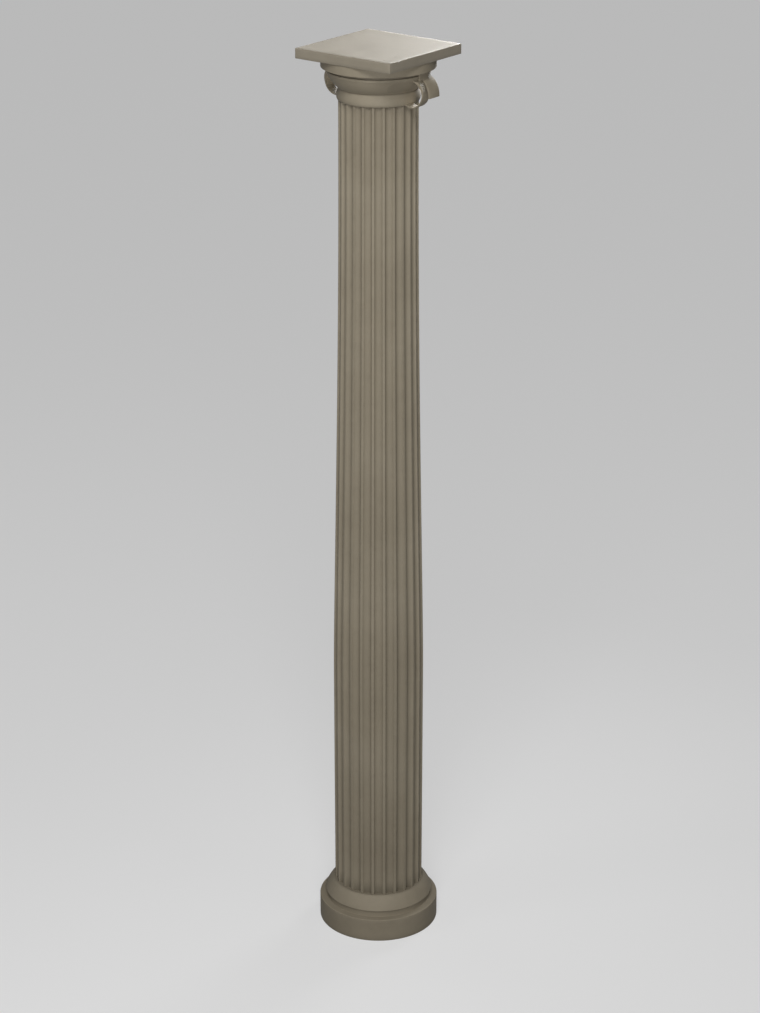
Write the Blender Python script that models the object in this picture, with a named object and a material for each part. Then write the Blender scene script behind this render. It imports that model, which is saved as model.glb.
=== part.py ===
# Ionic column: round plinth with a sloping ring moulding, fluted shaft with entasis,
# scrolled capital and a plain square slab on top.
# Metres, +Z up. The origin is the centre of the underside. The front faces -Y.
import bpy
import bmesh
from math import pi, sin, cos, sqrt, radians, atan2

# ---------------------------------------------------------------- driving dimensions
GAP = 0.0003              # joint between two drums

PLINTH_R = 0.2024         # plain round plinth
PLINTH_H = 0.0808
NECKING_R = 0.1780        # recessed fillet between plinth and ring
RING_LIP_R = 0.1830       # lower edge of the ring moulding
RING_LIP_Z = 0.1050
RING_TOP_R = 0.1530       # its sloping face ends here, just outside the shaft
RING_BULGE = 0.0025       # rise of the slope over its chord
BASE_TOP_Z = 0.1505

SHAFT_FOOT_Z = BASE_TOP_Z + GAP
SHAFT_HEAD_Z = 2.8825
SHAFT_FOOT_R = 0.1497     # over the fillets
SHAFT_BELLY_R = 0.1505    # fullest, at BELLY_AT of the shaft's height
SHAFT_HEAD_R = 0.1258
BELLY_AT = 0.29
TAPER_POWER = 1.10        # how late the taper sets in above the belly
TAPER_EASE = 0.04         # how softly the belly turns into the taper
FLUTES = 24
FILLET_DEG = 3.4          # flat ridge between two flutes
FLUTE_DEPTH = 0.34        # of the flute's width
FLUTE_STEPS = 5           # flat faces across a flute
LOWER_LEVELS = 3          # rows of points below the belly
UPPER_LEVELS = 9          # and above it

CAP_FOOT_Z = SHAFT_HEAD_Z + GAP
BAND_FOOT_R = 0.1248      # neck band, fullest low down
BAND_FULL_R = 0.1312
BAND_FULL_Z = 2.8957
BAND_TOP_R = 0.1253
BAND_TOP_Z = 2.9219
ECHINUS_TOP_R = 0.1607    # shallow bowl under the lip
ECHINUS_TOP_Z = 2.9680
ECHINUS_BULGE = 0.0040    # rise of its arc over the chord
LIP_R = 0.1625
LIP_FOOT_Z = 2.9688
LIP_TOP_Z = 2.9765
QUIRK_R = 0.1570          # dark recess between lip and disc
DISC_R = 0.1797
DISC_FOOT_Z = 2.9869
DISC_TOP_Z = 3.0159

SCROLL_X = 0.1440         # axis of a scroll ring, to either side of the middle
SCROLL_Z = 2.9255
SCROLL_R = 0.0470         # over the ring's wall
SCROLL_WALL = 0.0034
RING_FLARE = 0.0030       # the ring widens to the front by this much at its side
RING_FRONT_Y = -0.0290    # the open ring runs from here
RING_BACK_Y = 0.0085      # to here
RING_TAIL = 0.0016        # its tail is drawn in by this much
RING_FROM_DEG = -122.0    # the tail is bedded in the neck band
RING_TO_DEG = 100.0       # and the head in the bowl
HOLE_X, HOLE_Z, HOLE_R = 0.1465, 2.9207, 0.0405    # round the opening at the ring's front
WAIST_X, WAIST_Z, WAIST_R = 0.1043, 2.9040, 0.0820  # round the ring's back edge, beside the panel
GROOVE_DEPTH = 0.0024     # of the sunk strip between ring and panel
GROOVE_TO_DEG = 80.0
PANEL_X, PANEL_Z, PANEL_R = 0.1207, 2.9102, 0.0682  # round the side panel behind the ring
PANEL_WALL = 0.0070
PANEL_FRONT_Y = 0.0112
PANEL_BACK_Y = 0.0621
PANEL_TO_DEG = 84.0
PANEL_FOOT_Z = 2.9061     # straight cut lower edge of the panel's skirt
CREST_X = 0.1650          # the crest that carries ring and panel up to the disc
CREST_FOOT_Z = 2.9620
CREST_FRONT_Y = -0.0080
CREST_BACK_Y = 0.0360

SLAB_SIDE = 0.3652
SLAB_FOOT_Z = DISC_TOP_Z + GAP
TOTAL_H = 3.048
SLAB_EDGE = 0.0008        # worn arris

TURNED_STEPS = 72         # flat faces round a turned piece


# ---------------------------------------------------------------- helpers
def clear_scene():
    for obj in list(bpy.data.objects):
        bpy.data.objects.remove(obj, do_unlink=True)


def stone(name, colour, roughness):
    mat = bpy.data.materials.new(name)
    mat.use_nodes = True
    shader = mat.node_tree.nodes["Principled BSDF"]
    shader.inputs["Base Color"].default_value = (*colour, 1.0)
    shader.inputs["Roughness"].default_value = roughness
    shader.inputs["Metallic"].default_value = 0.0
    return mat


def finish_object(name, bm, material, parent=None, smooth_deg=None):
    bmesh.ops.recalc_face_normals(bm, faces=bm.faces[:])
    mesh = bpy.data.meshes.new(name)
    bm.to_mesh(mesh)
    bm.free()
    obj = bpy.data.objects.new(name, mesh)
    bpy.context.scene.collection.objects.link(obj)
    if material is not None:
        mesh.materials.append(material)
    if smooth_deg is not None:
        mesh.shade_smooth()
        mesh.set_sharp_from_angle(angle=radians(smooth_deg))
    obj.parent = parent
    return obj


def turned(profile, steps):
    """Spin a profile of (radius, height) pairs, whose ends are on the axis, round Z."""
    bm = bmesh.new()
    points = [bm.verts.new((r, 0.0, z)) for r, z in profile]
    edges = [bm.edges.new(pair) for pair in zip(points, points[1:])]
    bmesh.ops.spin(bm, geom=points + edges, cent=(0, 0, 0), axis=(0, 0, 1),
                   angle=2 * pi, steps=steps, use_merge=True)
    bmesh.ops.remove_doubles(bm, verts=bm.verts[:], dist=0.00001)
    return bm


def arc_between(start, end, bulge, steps):
    """Points of a circular arc that rises bulge over its chord, on the chord's right-hand side."""
    (x0, z0), (x1, z1) = start, end
    chord = sqrt((x1 - x0) ** 2 + (z1 - z0) ** 2)
    radius = (chord * chord / 4 + bulge * bulge) / (2 * bulge)
    ux, uz = (x1 - x0) / chord, (z1 - z0) / chord
    nx, nz = uz, -ux
    points = []
    for i in range(steps + 1):
        along = chord * (i / steps - 0.5)
        rise = sqrt(radius * radius - along * along) - (radius - bulge)
        mx, mz = x0 + ux * (along + chord / 2), z0 + uz * (along + chord / 2)
        points.append((mx + nx * rise, mz + nz * rise))
    return points


# ---------------------------------------------------------------- base drum
def base_profile():
    profile = [(0.0, 0.0), (PLINTH_R, 0.0), (PLINTH_R, PLINTH_H), (NECKING_R, PLINTH_H),
               (NECKING_R, RING_LIP_Z - 0.0015)]
    profile += arc_between((RING_LIP_R, RING_LIP_Z), (RING_TOP_R, BASE_TOP_Z), RING_BULGE, 5)
    profile.append((0.0, BASE_TOP_Z))
    return profile


# ---------------------------------------------------------------- fluted shaft
def shaft_radius(t):
    """Radius over the fillets at the fraction t of the shaft's height."""
    if t <= BELLY_AT:
        swell = sin(pi / 2 * t / BELLY_AT)
        return SHAFT_FOOT_R + (SHAFT_BELLY_R - SHAFT_FOOT_R) * swell
    u = (t - BELLY_AT) / (1 - BELLY_AT)
    u = (sqrt(u * u + TAPER_EASE ** 2) - TAPER_EASE) / (sqrt(1 + TAPER_EASE ** 2) - TAPER_EASE)
    return SHAFT_BELLY_R - (SHAFT_BELLY_R - SHAFT_HEAD_R) * sin(pi / 2 * u) ** TAPER_POWER


def fluted_section(radius):
    """One closed outline: fillets centred on the faces, with a segmental flute between each two."""
    pitch = 2 * pi / FLUTES
    half = (pitch - radians(FILLET_DEG)) / 2
    mouth = radius * sin(half)                     # half the flute's width
    sag = 2 * mouth * FLUTE_DEPTH
    hollow = (mouth * mouth + sag * sag) / (2 * sag)
    centre = radius * cos(half) + hollow - sag     # of the flute's arc, from the axis
    sweep = 4 * atan2(sag, mouth)
    outline = []
    for k in range(FLUTES):
        middle = (k + 0.5) * pitch
        for j in range(FLUTE_STEPS + 1):
            a = sweep * (j / FLUTE_STEPS - 0.5)
            x, y = centre - hollow * cos(a), hollow * sin(a)
            outline.append((x * cos(middle) - y * sin(middle), x * sin(middle) + y * cos(middle)))
    return outline


def fluted_shaft():
    bm = bmesh.new()
    levels = [BELLY_AT * i / LOWER_LEVELS for i in range(LOWER_LEVELS)]
    levels += [BELLY_AT + (1 - BELLY_AT) * i / UPPER_LEVELS for i in range(UPPER_LEVELS + 1)]
    rows = []
    for t in levels:
        z = SHAFT_FOOT_Z + (SHAFT_HEAD_Z - SHAFT_FOOT_Z) * t
        rows.append([bm.verts.new((x, y, z)) for x, y in fluted_section(shaft_radius(t))])
    for low, high in zip(rows, rows[1:]):
        n = len(low)
        for i in range(n):
            j = (i + 1) % n
            bm.faces.new((low[i], low[j], high[j], high[i]))
    bm.faces.new(list(reversed(rows[0])))
    bm.faces.new(rows[-1])
    return bm


# ---------------------------------------------------------------- capital
def capital_profile():
    profile = [(0.0, CAP_FOOT_Z), (BAND_FOOT_R, CAP_FOOT_Z)]
    for i in range(1, 4):                          # the band turns in quickly at its foot
        u = 1 - i / 3
        profile.append((BAND_FOOT_R + (BAND_FULL_R - BAND_FOOT_R) * sqrt(1 - u * u),
                        BAND_FULL_Z + (CAP_FOOT_Z - BAND_FULL_Z) * u))
    for i in range(1, 4):                          # and slowly towards its top
        u = i / 3
        profile.append((BAND_TOP_R + (BAND_FULL_R - BAND_TOP_R) * cos(pi / 2 * u),
                        BAND_FULL_Z + (BAND_TOP_Z - BAND_FULL_Z) * u))
    bowl = arc_between((BAND_TOP_R, BAND_TOP_Z), (ECHINUS_TOP_R, ECHINUS_TOP_Z), ECHINUS_BULGE, 4)
    profile += bowl[1:]
    profile += [(LIP_R, LIP_FOOT_Z), (LIP_R, LIP_TOP_Z), (QUIRK_R, LIP_TOP_Z + 0.0007),
                (QUIRK_R, DISC_FOOT_Z), (DISC_R, DISC_FOOT_Z), (DISC_R, DISC_TOP_Z), (0.0, DISC_TOP_Z)]
    return profile


def ease(a, b, x):
    t = min(max((x - a) / (b - a), 0.0), 1.0)
    return t * t * (3 - 2 * t)


def reach(angle, x, z, radius):
    """How far a ray from the ring's axis runs before it leaves the circle round (x, z)."""
    dx, dz = SCROLL_X - x, SCROLL_Z - z
    along = dx * cos(angle) + dz * sin(angle)
    return -along + sqrt(along * along - (dx * dx + dz * dz - radius * radius))


def tail(turn):
    return RING_TAIL * ease(-90, -112, turn)


def front_radii(angle):
    """Outer and inner radius of the ring at its front edge."""
    turn = angle * 180 / pi
    outer = SCROLL_R + RING_FLARE * ease(-20, 25, turn) - 0.0100 * ease(25, 80, turn) - tail(turn)
    return outer, min(reach(angle, HOLE_X, HOLE_Z, HOLE_R), outer - SCROLL_WALL)


def back_radii(angle):
    """The same at its back edge, where it is drawn in beside the panel."""
    outer = min(SCROLL_R, reach(angle, WAIST_X, WAIST_Z, WAIST_R)) - tail(angle * 180 / pi)
    return outer, outer - SCROLL_WALL


def ring_point(side, angle, radius):
    return side * (SCROLL_X + radius * cos(angle)), SCROLL_Z + radius * sin(angle)


def strip(front_pairs, back_pairs, front, back):
    """A closed band between two rows of (outer, inner) pairs of (x, z) points, at front and at back."""
    bm = bmesh.new()
    rows = []
    for (fo, fi), (bo, bi) in zip(front_pairs, back_pairs):
        rows.append([bm.verts.new((p[0], y, p[1])) for p, y in ((fo, front), (fi, front), (bi, back), (bo, back))])
    for one, two in zip(rows, rows[1:]):
        for k in range(4):
            n = (k + 1) % 4
            bm.faces.new((one[k], one[n], two[n], two[k]))
    bm.faces.new(rows[0])
    bm.faces.new(list(reversed(rows[-1])))
    bmesh.ops.triangulate(bm, faces=bm.faces[:])
    return bm


def scroll_ring(side, steps):
    """An open C: its head is bedded in the bowl and its tail in the neck band."""
    fronts, backs = [], []
    for i in range(steps + 1):
        a = radians(RING_FROM_DEG + (RING_TO_DEG - RING_FROM_DEG) * i / steps)
        fronts.append([ring_point(side, a, r) for r in front_radii(a)])
        backs.append([ring_point(side, a, r) for r in back_radii(a)])
    return strip(fronts, backs, RING_FRONT_Y, RING_BACK_Y)


def scroll_groove(side, steps):
    """The sunk strip that ties the ring to the panel."""
    pairs = []
    for i in range(steps + 1):
        a = radians(-25 + (GROOVE_TO_DEG + 25) * i / steps)
        outer = back_radii(a)[0] - GROOVE_DEPTH
        pairs.append([ring_point(side, a, r) for r in (outer, outer - 0.0060)])
    return strip(pairs, pairs, RING_BACK_Y - 0.0025, PANEL_FRONT_Y + 0.0025)


def scroll_panel(side, steps):
    """A quarter round behind the ring, ending below in a short upright skirt."""
    radii = (PANEL_R, PANEL_R - PANEL_WALL)
    pairs = [[(side * (PANEL_X + r), PANEL_FOOT_Z) for r in radii]]
    for i in range(steps + 1):
        a = radians(PANEL_TO_DEG * i / steps)
        pairs.append([(side * (PANEL_X + r * cos(a)), PANEL_Z + r * sin(a)) for r in radii])
    return strip(pairs, pairs, PANEL_FRONT_Y, PANEL_BACK_Y)


def scroll_crest(side):
    """A short upright shoulder under the disc, over the heads of ring and panel."""
    pairs = [[(side * x, z) for x in (outer, QUIRK_R - 0.0070)]
             for outer, z in ((CREST_X - 0.0010, CREST_FOOT_Z), (CREST_X, CREST_FOOT_Z + 0.0080),
                              (CREST_X, DISC_FOOT_Z + 0.0006))]
    return strip(pairs, pairs, CREST_FRONT_Y, CREST_BACK_Y)


def unite(target, tool):
    """Carve the second piece in one with the first."""
    tool.hide_render = True
    tool.display_type = "WIRE"
    union = target.modifiers.new("join_" + tool.name, "BOOLEAN")
    union.operation = "UNION"
    union.solver = "EXACT"
    union.object = tool


# ---------------------------------------------------------------- square slab
def slab():
    bm = bmesh.new()
    bmesh.ops.create_cube(bm, size=1.0)
    bmesh.ops.scale(bm, vec=(SLAB_SIDE, SLAB_SIDE, TOTAL_H - SLAB_FOOT_Z), verts=bm.verts[:])
    bmesh.ops.translate(bm, vec=(0.0, 0.0, (TOTAL_H + SLAB_FOOT_Z) / 2), verts=bm.verts[:])
    bmesh.ops.bevel(bm, geom=bm.edges[:], offset=SLAB_EDGE, offset_type="OFFSET",
                    segments=1, profile=0.5, affect="EDGES")
    return bm


# ---------------------------------------------------------------- the column
def build():
    clear_scene()
    root = bpy.data.objects.new("ionic_column", None)
    bpy.context.scene.collection.objects.link(root)

    upper = stone("stone_capital", (0.285, 0.254, 0.182), 0.70)
    middle = stone("stone_shaft", (0.285, 0.254, 0.182), 0.72)
    lower = stone("stone_base", (0.285, 0.254, 0.182), 0.74)
    top = stone("stone_abacus", (0.285, 0.254, 0.182), 0.46)

    finish_object("base", turned(base_profile(), TURNED_STEPS), lower, root, 30)
    finish_object("shaft", fluted_shaft(), middle, root, 30)
    capital = finish_object("capital", turned(capital_profile(), TURNED_STEPS), upper, root, 30)
    for side, word in ((1, "right"), (-1, "left")):
        unite(capital, finish_object("guide_panel_" + word, scroll_panel(side, 9), upper, root, 30))
        unite(capital, finish_object("guide_crest_" + word, scroll_crest(side), upper, root, 30))
        unite(capital, finish_object("guide_ring_" + word, scroll_ring(side, 18), upper, root, 30))
        unite(capital, finish_object("guide_groove_" + word, scroll_groove(side, 9), upper, root, 30))
    seam = capital.modifiers.new("close_seams", "WELD")
    seam.merge_threshold = 0.00005
    finish_object("abacus", slab(), top, root)


build()
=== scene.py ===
from math import pi, sin, cos, sqrt, radians, atan2, hypot

import bpy
import bmesh
import numpy as np
from mathutils import Matrix, Vector


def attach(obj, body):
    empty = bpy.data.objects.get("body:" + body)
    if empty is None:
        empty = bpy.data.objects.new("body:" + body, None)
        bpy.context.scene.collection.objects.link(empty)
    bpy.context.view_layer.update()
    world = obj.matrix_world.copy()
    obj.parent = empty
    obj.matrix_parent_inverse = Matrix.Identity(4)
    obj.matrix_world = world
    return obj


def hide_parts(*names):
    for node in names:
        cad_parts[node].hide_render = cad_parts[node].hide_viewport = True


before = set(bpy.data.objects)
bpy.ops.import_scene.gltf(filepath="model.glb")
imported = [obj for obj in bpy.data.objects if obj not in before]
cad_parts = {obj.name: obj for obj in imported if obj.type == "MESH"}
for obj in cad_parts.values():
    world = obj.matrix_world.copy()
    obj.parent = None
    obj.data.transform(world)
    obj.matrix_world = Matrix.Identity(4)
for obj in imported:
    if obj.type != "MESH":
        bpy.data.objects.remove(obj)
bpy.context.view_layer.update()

# ================================================================= sizes
PLINTH_R, PLINTH_H = 0.2024, 0.0808
NECKING_R = 0.1780
RING_LIP_R, RING_LIP_Z = 0.1830, 0.1050
RING_TOP_R, RING_BULGE = 0.1530, 0.0025
BASE_TOP_Z = 0.1505

SHAFT_FOOT_Z, SHAFT_HEAD_Z = 0.1508, 2.8825
SHAFT_FOOT_R, SHAFT_BELLY_R, SHAFT_HEAD_R = 0.1497, 0.1505, 0.1258
BELLY_AT, TAPER_POWER, TAPER_EASE = 0.29, 1.10, 0.04
FLUTES, FILLET_DEG, FLUTE_DEPTH = 24, 3.4, 0.34

CAP_FOOT_Z = 2.8828
BAND_FOOT_R, BAND_FULL_R, BAND_FULL_Z = 0.1248, 0.1312, 2.8957
BAND_TOP_R, BAND_TOP_Z = 0.1253, 2.9219
ECHINUS_TOP_R, ECHINUS_TOP_Z, ECHINUS_BULGE = 0.1607, 2.9680, 0.0040
LIP_R, LIP_FOOT_Z, LIP_TOP_Z = 0.1625, 2.9688, 2.9765
QUIRK_R = 0.1570
DISC_R, DISC_FOOT_Z, DISC_TOP_Z = 0.1797, 2.9869, 3.0159

SCROLL_X, SCROLL_Z, SCROLL_R, SCROLL_WALL, RING_FLARE = 0.1440, 2.9255, 0.0470, 0.0034, 0.0030
RING_FRONT_Y, RING_BACK_Y = -0.0290, 0.0085
RING_TAIL, RING_FROM_DEG, RING_TO_DEG = 0.0016, -122.0, 100.0
HOLE_X, HOLE_Z, HOLE_R = 0.1465, 2.9207, 0.0405
WAIST_X, WAIST_Z, WAIST_R = 0.1043, 2.9040, 0.0820
GROOVE_DEPTH, GROOVE_TO_DEG = 0.0024, 80.0
PANEL_X, PANEL_Z, PANEL_R, PANEL_WALL = 0.1207, 2.9102, 0.0682, 0.0070
PANEL_FRONT_Y, PANEL_BACK_Y, PANEL_TO_DEG = 0.0112, 0.0621, 84.0
PANEL_FOOT_Z = 2.9061
CREST_X, CREST_FOOT_Z, CREST_FRONT_Y, CREST_BACK_Y = 0.1650, 2.9620, -0.0080, 0.0360

SLAB_HALF, SLAB_FOOT_Z, TOTAL_H = 0.1826, 3.0162, 3.0480


# ================================================================= mesh helpers
def smoothstep(a, b, x):
    t = np.clip((x - a) / (b - a), 0.0, 1.0)
    return t * t * (3 - 2 * t)


def rounded(points, radii, steps=4):
    """A polyline in (r, z) with its corners rounded by arcs of the given radii (0 keeps the corner)."""
    out = [points[0]]
    for before, corner, after, radius in zip(points, points[1:], points[2:], radii[1:-1]):
        p, c, q = (np.array(v, float) for v in (before, corner, after))
        d0, d1 = p - c, q - c
        l0, l1 = np.linalg.norm(d0), np.linalg.norm(d1)
        if radius <= 0 or l0 < 1e-9 or l1 < 1e-9:
            out.append(tuple(c))
            continue
        u0, u1 = d0 / l0, d1 / l1
        half = np.arccos(np.clip(np.dot(u0, u1), -1, 1)) / 2
        if half > pi / 2 - 0.02:
            out.append(tuple(c))
            continue
        reach = min(radius / np.tan(half), 0.45 * l0, 0.45 * l1)
        size = reach * np.tan(half)
        centre = c + (u0 + u1) / np.linalg.norm(u0 + u1) * (size / np.sin(half))
        a, b = c + u0 * reach - centre, c + u1 * reach - centre
        turn = np.arccos(np.clip(np.dot(a, b) / (size * size), -1, 1))
        for i in range(steps + 1):
            w = i / steps
            v = (np.sin((1 - w) * turn) * a + np.sin(w * turn) * b) / max(np.sin(turn), 1e-9)
            out.append(tuple(centre + v))
    out.append(points[-1])
    return out


def resampled(points, longest):
    """Adds points so that no stretch of the polyline is longer than the given length."""
    out = [points[0]]
    for (x0, z0), (x1, z1) in zip(points, points[1:]):
        n = max(1, int(np.ceil(hypot(x1 - x0, z1 - z0) / longest)))
        out += [(x0 + (x1 - x0) * i / n, z0 + (z1 - z0) * i / n) for i in range(1, n + 1)]
    return out


def mesh_object(name, verts, faces, sharp_deg=30.0):
    mesh = bpy.data.meshes.new(name)
    mesh.from_pydata([tuple(v) for v in verts], [], faces)
    mesh.validate()
    bm = bmesh.new()
    bm.from_mesh(mesh)
    bmesh.ops.remove_doubles(bm, verts=bm.verts[:], dist=1e-6)
    bmesh.ops.recalc_face_normals(bm, faces=bm.faces[:])
    bm.to_mesh(mesh)
    bm.free()
    mesh.shade_smooth()
    mesh.set_sharp_from_angle(angle=radians(sharp_deg))
    obj = bpy.data.objects.new(name, mesh)
    bpy.context.scene.collection.objects.link(obj)
    return obj


def turned(name, profile, segments, sharp_deg=30.0):
    """A closed turned body. The profile of (radius, height) runs from the axis below to the axis above."""
    verts = [(0.0, 0.0, profile[0][1])]
    rows = []
    for r, z in profile[1:-1]:
        rows.append(len(verts))
        for k in range(segments):
            a = 2 * pi * k / segments
            verts.append((r * cos(a), r * sin(a), z))
    top = len(verts)
    verts.append((0.0, 0.0, profile[-1][1]))
    faces = []
    for k in range(segments):
        n = (k + 1) % segments
        faces.append((0, rows[0] + n, rows[0] + k))
        faces.append((top, rows[-1] + k, rows[-1] + n))
        for lo, hi in zip(rows, rows[1:]):
            faces.append((lo + k, lo + n, hi + n, hi + k))
    return mesh_object(name, verts, faces, sharp_deg)


def arc_between(start, end, bulge, steps):
    (x0, z0), (x1, z1) = start, end
    chord = hypot(x1 - x0, z1 - z0)
    radius = (chord * chord / 4 + bulge * bulge) / (2 * bulge)
    ux, uz = (x1 - x0) / chord, (z1 - z0) / chord
    nx, nz = uz, -ux
    points = []
    for i in range(steps + 1):
        along = chord * (i / steps - 0.5)
        rise = sqrt(radius * radius - along * along) - (radius - bulge)
        points.append((x0 + ux * (along + chord / 2) + nx * rise, z0 + uz * (along + chord / 2) + nz * rise))
    return points


# ================================================================= base drum
def build_base():
    corners = [(0.0, 0.0), (PLINTH_R, 0.0), (PLINTH_R, PLINTH_H), (NECKING_R, PLINTH_H),
               (NECKING_R, RING_LIP_Z - 0.0012), (RING_LIP_R - 0.0008, RING_LIP_Z - 0.0012), (RING_LIP_R, RING_LIP_Z)]
    radii = [0, 0.0015, 0.0018, 0.0012, 0.0010, 0.0006, 0]
    profile = rounded(corners, radii, 4)
    profile += arc_between((RING_LIP_R, RING_LIP_Z), (RING_TOP_R, BASE_TOP_Z), RING_BULGE, 24)[1:]
    profile.append((0.0, BASE_TOP_Z))
    return turned("base_stone", resampled(profile[:-1], 0.012) + [profile[-1]], 288)


# ================================================================= fluted shaft
def shaft_radius(t):
    if t <= BELLY_AT:
        return SHAFT_FOOT_R + (SHAFT_BELLY_R - SHAFT_FOOT_R) * sin(pi / 2 * t / BELLY_AT)
    u = (t - BELLY_AT) / (1 - BELLY_AT)
    u = (sqrt(u * u + TAPER_EASE ** 2) - TAPER_EASE) / (sqrt(1 + TAPER_EASE ** 2) - TAPER_EASE)
    return SHAFT_BELLY_R - (SHAFT_BELLY_R - SHAFT_HEAD_R) * sin(pi / 2 * u) ** TAPER_POWER


def fluted_section(radius, steps=14, arris=0.0007):
    """Fillets centred on the faces, a segmental flute between each two, and softened arrises."""
    pitch = 2 * pi / FLUTES
    half = (pitch - radians(FILLET_DEG)) / 2
    mouth = radius * sin(half)
    sag = 2 * mouth * FLUTE_DEPTH
    hollow = (mouth * mouth + sag * sag) / (2 * sag)
    centre = radius * cos(half) + hollow - sag
    sweep = 4 * atan2(sag, mouth)
    one = []
    for j in range(steps + 1):
        a = sweep * (j / steps - 0.5)
        one.append((centre - hollow * cos(a), hollow * sin(a)))
    # from the middle of one fillet to the middle of the next
    start = (radius * cos(pitch / 2), -radius * sin(pitch / 2))
    end = (radius * cos(pitch / 2), radius * sin(pitch / 2))
    line = [start] + one + [end]
    radii = [0, arris] + [0] * (len(one) - 2) + [arris, 0]
    line = rounded(line, radii, 3)[:-1]
    outline = []
    for k in range(FLUTES):
        m = (k + 0.5) * pitch
        outline += [(x * cos(m) - y * sin(m), x * sin(m) + y * cos(m)) for x, y in line]
    return outline


def build_shaft():
    levels = [i / 18 * BELLY_AT for i in range(18)] + [BELLY_AT + (1 - BELLY_AT) * i / 60 for i in range(61)]
    edge = 0.0012 / (SHAFT_HEAD_Z - SHAFT_FOOT_Z)
    levels = sorted(set(levels + [edge, 1 - edge]))
    verts, faces, rows = [], [], []
    for t in levels:
        z = SHAFT_FOOT_Z + (SHAFT_HEAD_Z - SHAFT_FOOT_Z) * t
        ease = 0.0006 if t in (0.0, 1.0) else 0.0
        ring = fluted_section(shaft_radius(t) - ease)
        rows.append((len(verts), len(ring)))
        verts += [(x, y, z) for x, y in ring]
    n = rows[0][1]
    for (lo, _), (hi, _) in zip(rows, rows[1:]):
        faces += [(lo + i, lo + (i + 1) % n, hi + (i + 1) % n, hi + i) for i in range(n)]
    low, high = len(verts), len(verts) + 1
    verts += [(0, 0, SHAFT_FOOT_Z), (0, 0, SHAFT_HEAD_Z)]
    faces += [(low, rows[0][0] + (i + 1) % n, rows[0][0] + i) for i in range(n)]
    faces += [(high, rows[-1][0] + i, rows[-1][0] + (i + 1) % n) for i in range(n)]
    return mesh_object("shaft_stone", verts, faces, 38.0)


# ================================================================= capital
def capital_profile():
    profile = [(0.0, CAP_FOOT_Z), (BAND_FOOT_R - 0.0006, CAP_FOOT_Z)]
    for i in range(1, 13):
        u = 1 - i / 12
        profile.append((BAND_FOOT_R + (BAND_FULL_R - BAND_FOOT_R) * sqrt(1 - u * u),
                        BAND_FULL_Z + (CAP_FOOT_Z - BAND_FULL_Z) * u))
    for i in range(1, 17):
        u = i / 16
        profile.append((BAND_TOP_R + (BAND_FULL_R - BAND_TOP_R) * cos(pi / 2 * u),
                        BAND_FULL_Z + (BAND_TOP_Z - BAND_FULL_Z) * u))
    profile += arc_between((BAND_TOP_R, BAND_TOP_Z), (ECHINUS_TOP_R, ECHINUS_TOP_Z), ECHINUS_BULGE, 24)[1:]
    corners = [profile[-1], (LIP_R, LIP_FOOT_Z), (LIP_R, LIP_TOP_Z), (QUIRK_R, LIP_TOP_Z + 0.0007),
               (QUIRK_R, DISC_FOOT_Z), (DISC_R, DISC_FOOT_Z), (DISC_R, DISC_TOP_Z), (0.0, DISC_TOP_Z)]
    profile = profile[:-1] + rounded(corners, [0, 0.0008, 0.0012, 0.0010, 0.0010, 0.0012, 0.0012, 0], 4)
    return profile


def ease(a, b, x):
    t = min(max((x - a) / (b - a), 0.0), 1.0)
    return t * t * (3 - 2 * t)


def reach(angle, x, z, radius):
    """How far a ray from the ring's axis runs before it leaves the circle round (x, z)."""
    dx, dz = SCROLL_X - x, SCROLL_Z - z
    along = dx * cos(angle) + dz * sin(angle)
    return -along + sqrt(along * along - (dx * dx + dz * dz - radius * radius))


def tail(turn):
    return RING_TAIL * ease(-90, -112, turn)


def front_radii(angle):
    turn = angle * 180 / pi
    outer = SCROLL_R + RING_FLARE * ease(-20, 25, turn) - 0.0100 * ease(25, 80, turn) - tail(turn)
    return outer, min(reach(angle, HOLE_X, HOLE_Z, HOLE_R), outer - SCROLL_WALL)


def back_radii(angle):
    outer = min(SCROLL_R, reach(angle, WAIST_X, WAIST_Z, WAIST_R)) - tail(angle * 180 / pi)
    return outer, outer - SCROLL_WALL


def ring_point(side, angle, radius):
    return side * (SCROLL_X + radius * cos(angle)), SCROLL_Z + radius * sin(angle)


def strip_mesh(name, front_pairs, back_pairs, front, back, edge):
    """A bent strip between rows of (outer, inner) points at front and at back along Y, its long edges eased."""
    fronts, backs = np.array(front_pairs, float), np.array(back_pairs, float)
    depth = back - front
    # one closed cross outline per station: (how far from outer to inner, how far from front to back)
    loops = []
    for f, b in zip(fronts, backs):
        w = min(np.linalg.norm(f[0] - f[1]), np.linalg.norm(b[0] - b[1]))
        e = min(edge, 0.3 * w)
        corner = []
        for (cu, cv), (a0, a1) in (((0, 0), (pi, 1.5 * pi)), ((1, 0), (1.5 * pi, 2 * pi)),
                                   ((1, 1), (0, 0.5 * pi)), ((0, 1), (0.5 * pi, pi))):
            for s in range(4):
                a = a0 + (a1 - a0) * s / 3
                u = (e + e * cos(a)) / w if cu == 0 else 1 - (e - e * cos(a)) / w
                v = (e + e * sin(a)) if cv == 0 else depth - (e - e * sin(a))
                corner.append((u, v))
        loop = []
        for u, v in corner:
            o, i = f[0] + (b[0] - f[0]) * v / depth, f[1] + (b[1] - f[1]) * v / depth
            loop.append((o[0] + (i[0] - o[0]) * u, front + v, o[1] + (i[1] - o[1]) * u))
        loops.append(loop)
    verts, faces, n = [], [], len(loops[0])
    for loop in loops:
        verts += loop
    for s in range(len(loops) - 1):
        a, b = s * n, (s + 1) * n
        faces += [(a + k, a + (k + 1) % n, b + (k + 1) % n, b + k) for k in range(n)]
    faces.append(tuple(range(n)))
    faces.append(tuple(reversed(range((len(loops) - 1) * n, len(loops) * n))))
    return mesh_object(name, verts, faces, 50.0)


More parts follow.
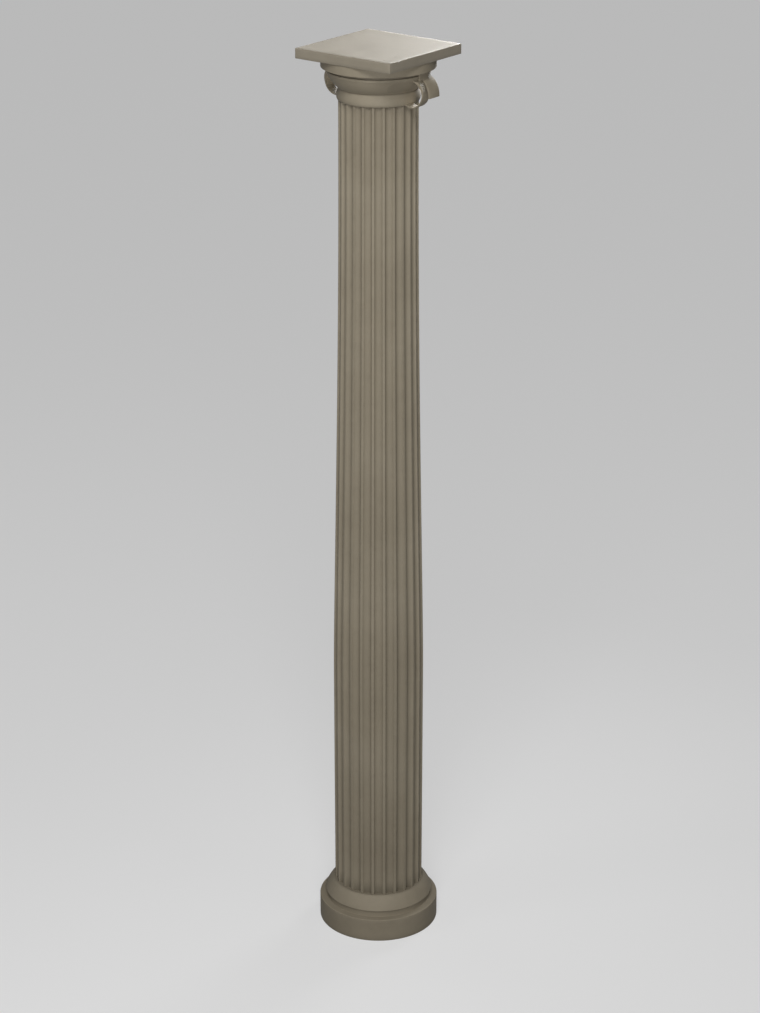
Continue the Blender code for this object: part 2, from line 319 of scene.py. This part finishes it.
def scroll_pieces(side):
    fronts, backs, steps = [], [], 72
    for i in range(steps + 1):
        a = radians(RING_FROM_DEG + (RING_TO_DEG - RING_FROM_DEG) * i / steps)
        fronts.append([ring_point(side, a, r) for r in front_radii(a)])
        backs.append([ring_point(side, a, r) for r in back_radii(a)])
    ring = strip_mesh("ring_tool", fronts, backs, RING_FRONT_Y, RING_BACK_Y, 0.0008)
    pairs = []
    for i in range(37):
        a = radians(-25 + (GROOVE_TO_DEG + 25) * i / 36)
        outer = back_radii(a)[0] - GROOVE_DEPTH
        pairs.append([ring_point(side, a, r) for r in (outer, outer - 0.0060)])
    groove = strip_mesh("groove_tool", pairs, pairs, RING_BACK_Y - 0.0025, PANEL_FRONT_Y + 0.0025, 0.0004)
    radii = (PANEL_R, PANEL_R - PANEL_WALL)
    pairs = [[(side * (PANEL_X + r), PANEL_FOOT_Z + (PANEL_Z - PANEL_FOOT_Z) * i / 4) for r in radii] for i in range(4)]
    for i in range(45):
        a = radians(PANEL_TO_DEG * i / 44)
        pairs.append([(side * (PANEL_X + r * cos(a)), PANEL_Z + r * sin(a)) for r in radii])
    panel = strip_mesh("panel_tool", pairs, pairs, PANEL_FRONT_Y, PANEL_BACK_Y, 0.0009)
    pairs = [[(side * x, z) for x in (outer, QUIRK_R - 0.0070)]
             for outer, z in ((CREST_X - 0.0010, CREST_FOOT_Z), (CREST_X - 0.0003, CREST_FOOT_Z + 0.0040),
                              (CREST_X, CREST_FOOT_Z + 0.0080), (CREST_X, DISC_FOOT_Z + 0.0006))]
    crest = strip_mesh("crest_tool", pairs, pairs, CREST_FRONT_Y, CREST_BACK_Y, 0.0012)
    return panel, crest, ring, groove


def build_capital():
    profile = capital_profile()
    body = turned("capital_stone", resampled(profile[:-1], 0.010) + [profile[-1]], 288)
    tools = [t for side in (1, -1) for t in scroll_pieces(side)]
    for tool in tools:
        union = body.modifiers.new("join", "BOOLEAN")
        union.operation, union.solver, union.object = "UNION", "EXACT", tool
    depsgraph = bpy.context.evaluated_depsgraph_get()
    joined = bpy.data.meshes.new_from_object(body.evaluated_get(depsgraph))
    body.modifiers.clear()
    body.data = joined
    for tool in tools:
        bpy.data.objects.remove(tool, do_unlink=True)
    joined.shade_smooth()
    joined.set_sharp_from_angle(angle=radians(32))
    return body


# ================================================================= square slab
def build_slab():
    bm = bmesh.new()
    bmesh.ops.create_cube(bm, size=1.0)
    bmesh.ops.scale(bm, vec=(2 * SLAB_HALF, 2 * SLAB_HALF, TOTAL_H - SLAB_FOOT_Z), verts=bm.verts[:])
    bmesh.ops.translate(bm, vec=(0, 0, (TOTAL_H + SLAB_FOOT_Z) / 2), verts=bm.verts[:])
    bmesh.ops.bevel(bm, geom=bm.edges[:], offset=0.0011, offset_type="OFFSET", segments=3, profile=0.5, affect="EDGES")
    for axis, count in ((0, 24), (1, 24), (2, 3)):
        lo = -SLAB_HALF if axis < 2 else SLAB_FOOT_Z
        hi = SLAB_HALF if axis < 2 else TOTAL_H
        for i in range(1, count):
            co, no = [0.0, 0.0, 0.0], [0.0, 0.0, 0.0]
            co[axis], no[axis] = lo + (hi - lo) * i / count, 1.0
            bmesh.ops.bisect_plane(bm, geom=bm.verts[:] + bm.edges[:] + bm.faces[:], plane_co=co, plane_no=no)
    bmesh.ops.recalc_face_normals(bm, faces=bm.faces[:])
    mesh = bpy.data.meshes.new("abacus_stone")
    bm.to_mesh(mesh)
    bm.free()
    mesh.shade_smooth()
    mesh.set_sharp_from_angle(angle=radians(35))
    obj = bpy.data.objects.new("abacus_stone", mesh)
    bpy.context.scene.collection.objects.link(obj)
    return obj


# ================================================================= stone
def stone_material(name, light, mid, dark, roughness, seed):
    """Warm grey limestone, rubbed smooth: slow clouding, fine mottle, grain, painted shade held in the recesses, and
    pale arrises that are partly rubbed wear and partly a painted highlight.
    """
    mat = bpy.data.materials.new(name)
    mat.use_nodes = True
    tree = mat.node_tree
    nodes, links = tree.nodes, tree.links
    shader = nodes["Principled BSDF"]

    def node(kind, **values):
        made = nodes.new(kind)
        for key, value in values.items():
            setattr(made, key, value)
        return made

    coords = node("ShaderNodeTexCoord")
    place = node("ShaderNodeMapping")
    place.inputs["Location"].default_value = (seed * 1.7, seed * -2.3, seed * 0.9)
    links.new(coords.outputs["Object"], place.inputs["Vector"])

    def noise(scale, detail, rough, stretch=None):
        made = node("ShaderNodeTexNoise")
        made.inputs["Scale"].default_value = scale
        made.inputs["Detail"].default_value = detail
        made.inputs["Roughness"].default_value = rough
        source = place.outputs["Vector"]
        if stretch:
            squeeze = node("ShaderNodeMapping")
            squeeze.inputs["Scale"].default_value = stretch
            links.new(source, squeeze.inputs["Vector"])
            source = squeeze.outputs["Vector"]
        links.new(source, made.inputs["Vector"])
        return made

    def ramp(source, stops):
        made = node("ShaderNodeValToRGB")
        elements = made.color_ramp.elements
        while len(elements) < len(stops):
            elements.new(0.5)
        for element, (pos, value) in zip(elements, stops):
            element.position = pos
            element.color = (value, value, value, 1.0) if isinstance(value, float) else (*value, 1.0)
        links.new(source, made.inputs["Fac"])
        return made

    def mix(kind, factor, a, b):
        made = node("ShaderNodeMix", data_type="RGBA", blend_type=kind)
        for socket, value in ((made.inputs["Factor"], factor), (made.inputs["A"], a), (made.inputs["B"], b)):
            if hasattr(value, "is_linked") or hasattr(value, "links"):
                links.new(value, socket)
            elif isinstance(value, (int, float)):
                socket.default_value = value
            else:
                socket.default_value = (*value, 1.0)
        return made.outputs["Result"]

    clouds = noise(3.1, 4.0, 0.55)
    mottle = noise(24.0, 6.0, 0.62)
    streak = noise(9.0, 4.0, 0.55, (1.0, 1.0, 0.16))
    grain = noise(420.0, 3.0, 0.6)
    speck = noise(1100.0, 2.0, 0.5)

    base = ramp(clouds.outputs["Fac"], [(0.30, dark), (0.50, mid), (0.72, light)])
    tint = ramp(mottle.outputs["Fac"], [(0.32, 0.90), (0.50, 1.0), (0.70, 1.06)])
    colour = mix("MULTIPLY", 0.55, base.outputs["Color"], tint.outputs["Color"])
    run = ramp(streak.outputs["Fac"], [(0.36, 0.92), (0.58, 1.0)])
    colour = mix("MULTIPLY", 0.45, colour, run.outputs["Color"])
    dots = ramp(speck.outputs["Fac"], [(0.30, 0.86), (0.46, 1.0), (0.66, 1.05)])
    colour = mix("MULTIPLY", 0.45, colour, dots.outputs["Color"])

    # painted shade held in hollows and crevices, and arrises made pale as rubbed wear and as a painted highlight, both
    # worked out on the mesh
    hollow = node("ShaderNodeAttribute", attribute_name="hollow")
    shade_break = ramp(mottle.outputs["Fac"], [(0.25, 0.45), (0.70, 1.0)])
    painted_shade_amount = node("ShaderNodeMath", operation="MULTIPLY")
    links.new(hollow.outputs["Fac"], painted_shade_amount.inputs[0])
    links.new(shade_break.outputs["Color"], painted_shade_amount.inputs[1])
    # painted shade: the hollow mask, broken up by the mottle, pulls the colour towards a darker stone tone
    colour = mix("MIX", painted_shade_amount.outputs["Value"], colour, tuple(0.55 * c for c in dark))
    arris = node("ShaderNodeAttribute", attribute_name="arris")
    edge_wear_and_highlight_break = ramp(noise(60.0, 5.0, 0.65).outputs["Fac"], [(0.40, 0.0), (0.66, 1.0)])
    edge_wear_and_highlight = node("ShaderNodeMath", operation="MULTIPLY")
    links.new(arris.outputs["Fac"], edge_wear_and_highlight.inputs[0])
    links.new(edge_wear_and_highlight_break.outputs["Color"], edge_wear_and_highlight.inputs[1])
    # painted highlight along with rubbed wear: the arris mask pulls the colour towards a paler stone tone
    colour = mix("MIX", edge_wear_and_highlight.outputs["Value"], colour, tuple(min(1.0, 1.22 * c) for c in light))
    links.new(colour, shader.inputs["Base Color"])

    rough = ramp(mottle.outputs["Fac"], [(0.30, roughness - 0.03), (0.70, roughness + 0.04)])
    links.new(rough.outputs["Color"], shader.inputs["Roughness"])
    shader.inputs["Specular IOR Level"].default_value = 0.42

    height = node("ShaderNodeMath", operation="ADD")
    soft = node("ShaderNodeMath", operation="MULTIPLY")
    soft.inputs[1].default_value = 0.55
    links.new(grain.outputs["Fac"], soft.inputs[0])
    links.new(soft.outputs["Value"], height.inputs[0])
    links.new(mottle.outputs["Fac"], height.inputs[1])
    bump = node("ShaderNodeBump")
    bump.inputs["Strength"].default_value = 0.22
    bump.inputs["Distance"].default_value = 0.0007
    links.new(height.outputs["Value"], bump.inputs["Height"])
    links.new(bump.outputs["Normal"], shader.inputs["Normal"])
    return mat


def paint(obj, hollow, arris):
    """Stores how sheltered and how exposed each point is, for the painted shade in recesses and the pale edges, which
    are rubbed wear and a painted highlight.
    """
    co = np.array([v.co for v in obj.data.vertices], float).reshape(-1, 3)
    for word, rule in (("hollow", hollow), ("arris", arris)):
        values = np.clip(rule(co), 0.0, 1.0).astype(np.float32)
        layer = obj.data.attributes.new(word, "FLOAT", "POINT")
        layer.data.foreach_set("value", values)


def near(x, centre, width):
    return np.exp(-((x - centre) / width) ** 2)


def shaft_paint(co):
    radius = np.hypot(co[:, 0], co[:, 1])
    t = (co[:, 2] - SHAFT_FOOT_Z) / (SHAFT_HEAD_Z - SHAFT_FOOT_Z)
    full = np.array([shaft_radius(min(max(v, 0.0), 1.0)) for v in t])
    return radius, full, co[:, 2]


# painted shade at the shaft's foot and under the band at its head, and a slight darkening in the flute bottoms
def shaft_hollow(co):
    radius, full, z = shaft_paint(co)
    deep = smoothstep(0.004, 0.0095, full - radius) * 0.10
    foot = near(z, SHAFT_FOOT_Z, 0.010) * smoothstep(0.0, 0.006, full - radius) * 0.75
    head = near(z, SHAFT_HEAD_Z, 0.008) * 0.45
    return np.maximum(deep, np.maximum(foot, head))


# pale fillet edges: rubbed wear and a painted highlight
def shaft_arris(co):
    radius, full, z = shaft_paint(co)
    return near(full - radius, 0.0004, 0.0006) * 0.22


# painted shade under the ring's lip, where the shaft meets the ring, and where the plinth meets the floor
def base_hollow(co):
    radius, z = np.hypot(co[:, 0], co[:, 1]), co[:, 2]
    joint = near(radius, NECKING_R, 0.004) * (z > PLINTH_H - 0.002) * (z < RING_LIP_Z) * 0.18
    top = near(z, BASE_TOP_Z, 0.0025) * 0.45
    floor = near(z, 0.0, 0.010) * 0.45
    return np.maximum(joint, np.maximum(top, floor))


# pale rim, lip and foot edges: rubbed wear and a painted highlight
def base_arris(co):
    radius, z = np.hypot(co[:, 0], co[:, 1]), co[:, 2]
    rim = near(radius, PLINTH_R - 0.0005, 0.0012) * near(z, PLINTH_H - 0.0005, 0.0016)
    lip = near(radius, RING_LIP_R, 0.0012) * near(z, RING_LIP_Z, 0.0016)
    foot = near(radius, PLINTH_R - 0.0005, 0.0012) * near(z, 0.0, 0.0016)
    return np.maximum(rim, np.maximum(lip, foot)) * 0.30


# painted shade in the quirk under the disc, at the band's top, inside the scrolls and in the groove behind the rings
def capital_hollow(co):
    radius, z = np.hypot(co[:, 0], co[:, 1]), co[:, 2]
    quirk = (radius < LIP_R - 0.001) * (z > LIP_TOP_Z - 0.001) * (z < DISC_FOOT_Z + 0.0005) * 0.85
    neck = near(z, BAND_TOP_Z, 0.0022) * near(radius, BAND_TOP_R, 0.004) * 0.5
    side = np.hypot(np.abs(co[:, 0]) - SCROLL_X, z - SCROLL_Z)
    inside = (side < HOLE_R - 0.0006) * (radius > 0.135) * (co[:, 1] < RING_BACK_Y) * 0.25
    groove = near(co[:, 1], (RING_BACK_Y + PANEL_FRONT_Y) / 2, 0.0012) * (np.abs(co[:, 0]) > 0.15) * 0.7
    return np.maximum(np.maximum(quirk, neck), np.maximum(inside, groove))


# pale disc, lip, ring, panel and skirt edges: rubbed wear and a painted highlight
def capital_arris(co):
    radius, z = np.hypot(co[:, 0], co[:, 1]), co[:, 2]
    disc = near(radius, DISC_R - 0.0003, 0.0010) * np.maximum(near(z, DISC_FOOT_Z, 0.0014), near(z, DISC_TOP_Z, 0.0014))
    lip = near(radius, LIP_R - 0.0003, 0.0009) * np.maximum(near(z, LIP_TOP_Z, 0.0014), near(z, LIP_FOOT_Z, 0.0010))
    out = np.abs(co[:, 0]) > 0.155
    ring = out * near(co[:, 1], RING_FRONT_Y + 0.0003, 0.0008)
    back = out * near(co[:, 1], PANEL_BACK_Y - 0.0003, 0.0008)
    skirt = out * near(z, PANEL_FOOT_Z, 0.0008)
    return np.maximum(np.maximum(disc, lip), np.maximum(ring, np.maximum(back, skirt))) * 0.45


# painted shade on the slab's underside round the disc
def slab_hollow(co):
    edge = np.maximum(np.abs(co[:, 0]), np.abs(co[:, 1]))
    return near(co[:, 2], SLAB_FOOT_Z, 0.002) * (edge < DISC_R + 0.004) * 0.6


# pale slab edges: rubbed wear and a painted highlight
def slab_arris(co):
    x = near(np.abs(co[:, 0]), SLAB_HALF, 0.0009)
    y = near(np.abs(co[:, 1]), SLAB_HALF, 0.0009)
    z = np.maximum(near(co[:, 2], TOTAL_H, 0.0009), near(co[:, 2], SLAB_FOOT_Z, 0.0009))
    return np.maximum(x * y, np.maximum(x * z, y * z)) * 0.8


# ================================================================= the column
base = build_base()
shaft = build_shaft()
capital = build_capital()
slab = build_slab()

pieces = (
    (base, "base", "stone_base", base_hollow, base_arris, 0.74, 3.0),
    (shaft, "shaft", "stone_shaft", shaft_hollow, shaft_arris, 0.72, 7.0),
    (capital, "capital", "stone_capital", capital_hollow, capital_arris, 0.70, 11.0),
    (slab, "abacus", "stone_abacus", slab_hollow, slab_arris, 0.46, 17.0),
)
for obj, cad_node, slot_name, hollow, arris, roughness, seed in pieces:
    paint(obj, hollow, arris)
    obj.data.materials.clear()
    # the slab is calmer and greyer than the rest; its greyer tint is painted sheen, standing in for the neutral
    # reflection on its polished top
    light, mid, dark = ((0.317, 0.276, 0.206), (0.287, 0.248, 0.182), (0.252, 0.215, 0.156))
    if obj is slab:
        light, mid, dark = ((0.298, 0.263, 0.204), (0.287, 0.253, 0.195), (0.274, 0.241, 0.185))
    obj.data.materials.append(stone_material(slot_name, light, mid, dark, roughness, seed))
    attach(obj, "root")
    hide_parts(cad_node)

# ================================================================= floor and light
def plain_floor():
    bm = bmesh.new()
    bmesh.ops.create_circle(bm, cap_ends=True, segments=96, radius=70.0)
    mesh = bpy.data.meshes.new("floor")
    bm.to_mesh(mesh)
    bm.free()
    obj = bpy.data.objects.new("floor", mesh)
    bpy.context.scene.collection.objects.link(obj)
    mat = bpy.data.materials.new("pale_floor")
    mat.use_nodes = True
    shader = mat.node_tree.nodes["Principled BSDF"]
    shader.inputs["Base Color"].default_value = (0.34, 0.34, 0.34, 1.0)
    shader.inputs["Roughness"].default_value = 0.85
    shader.inputs["Specular IOR Level"].default_value = 0.2
    shader.inputs["Emission Color"].default_value = (1.0, 1.0, 1.0, 1.0)
    shader.inputs["Emission Strength"].default_value = 0.48
    mesh.materials.append(mat)
    obj.visible_diffuse = False


def soft_light(name, place, target, width, height, power, spread=180.0):
    data = bpy.data.lights.new(name, "AREA")
    data.shape = "RECTANGLE"
    data.size, data.size_y = width, height
    data.energy = power
    data.spread = radians(spread)
    obj = bpy.data.objects.new(name, data)
    bpy.context.scene.collection.objects.link(obj)
    obj.visible_camera = False
    obj.location = place
    obj.rotation_euler = (Vector(target) - Vector(place)).to_track_quat("-Z", "Y").to_euler()


def around(azimuth, distance, z):
    """A place at an azimuth measured from the front (-Y) towards +X."""
    a = radians(azimuth)
    return (distance * sin(a), -distance * cos(a), z)


plain_floor()
world = bpy.data.worlds.new("studio")
bpy.context.scene.world = world
world.use_nodes = True
world.node_tree.nodes["Background"].inputs["Color"].default_value = (0.80, 0.81, 0.83, 1.0)
world.node_tree.nodes["Background"].inputs["Strength"].default_value = 0.015

soft_light("overhead", (0.2, -0.2, 6.2), (0.0, 0.0, 3.0), 3.0, 3.0, 21.0)
soft_light("key", around(31, 4.0, 6.4), (0.0, 0.0, 2.2), 2.0, 2.0, 142.0)
soft_light("fill_low", around(38, 6.0, 2.6), (0.0, 0.0, 1.8), 2.0, 2.0, 166.0)
soft_light("side_right", around(95, 5.0, 4.2), (0.0, 0.0, 2.0), 1.6, 2.4, 7.0)
soft_light("side_left", around(-30, 5.0, 4.2), (0.0, 0.0, 2.0), 1.6, 2.4, 25.0)
soft_light("back_right", around(197, 6.0, 4.6), (0.0, 0.0, 3.15), 2.4, 1.8, 53.0, 36.0)
soft_light("back_left", around(262, 5.0, 3.6), (0.0, 0.0, 2.0), 1.4, 2.6, 9.0)
soft_light("back_low", around(180, 4.0, 2.4), (0.0, 0.0, 0.1), 1.4, 1.4, 2.4, 40.0)

# ================================================================= camera
cam = bpy.data.cameras.new("camera")
cam.sensor_width = 36.0
cam.lens = 2686.0 * 36.0 / 1013.0
cam.shift_x = (380.0 - 378.50) / 1013.0
cam.clip_end = 300.0
cam_obj = bpy.data.objects.new("camera", cam)
bpy.context.scene.collection.objects.link(cam_obj)
CAM_AZ, CAM_DIST, CAM_Z, CAM_DOWN = radians(37.625), 8.1903, 4.8050, radians(21.841)
cam_obj.location = (CAM_DIST * sin(CAM_AZ), -CAM_DIST * cos(CAM_AZ), CAM_Z)
look = Vector((-sin(CAM_AZ) * cos(CAM_DOWN), cos(CAM_AZ) * cos(CAM_DOWN), -sin(CAM_DOWN)))
cam_obj.rotation_euler = look.to_track_quat("-Z", "Y").to_euler()
bpy.context.scene.camera = cam_obj

bpy.context.scene.view_settings.view_transform = "Standard"
bpy.context.scene.view_settings.look = "None"
bpy.context.scene.view_settings.exposure = 0.0
bpy.context.scene.view_settings.gamma = 1.0

bpy.context.view_layer.update()
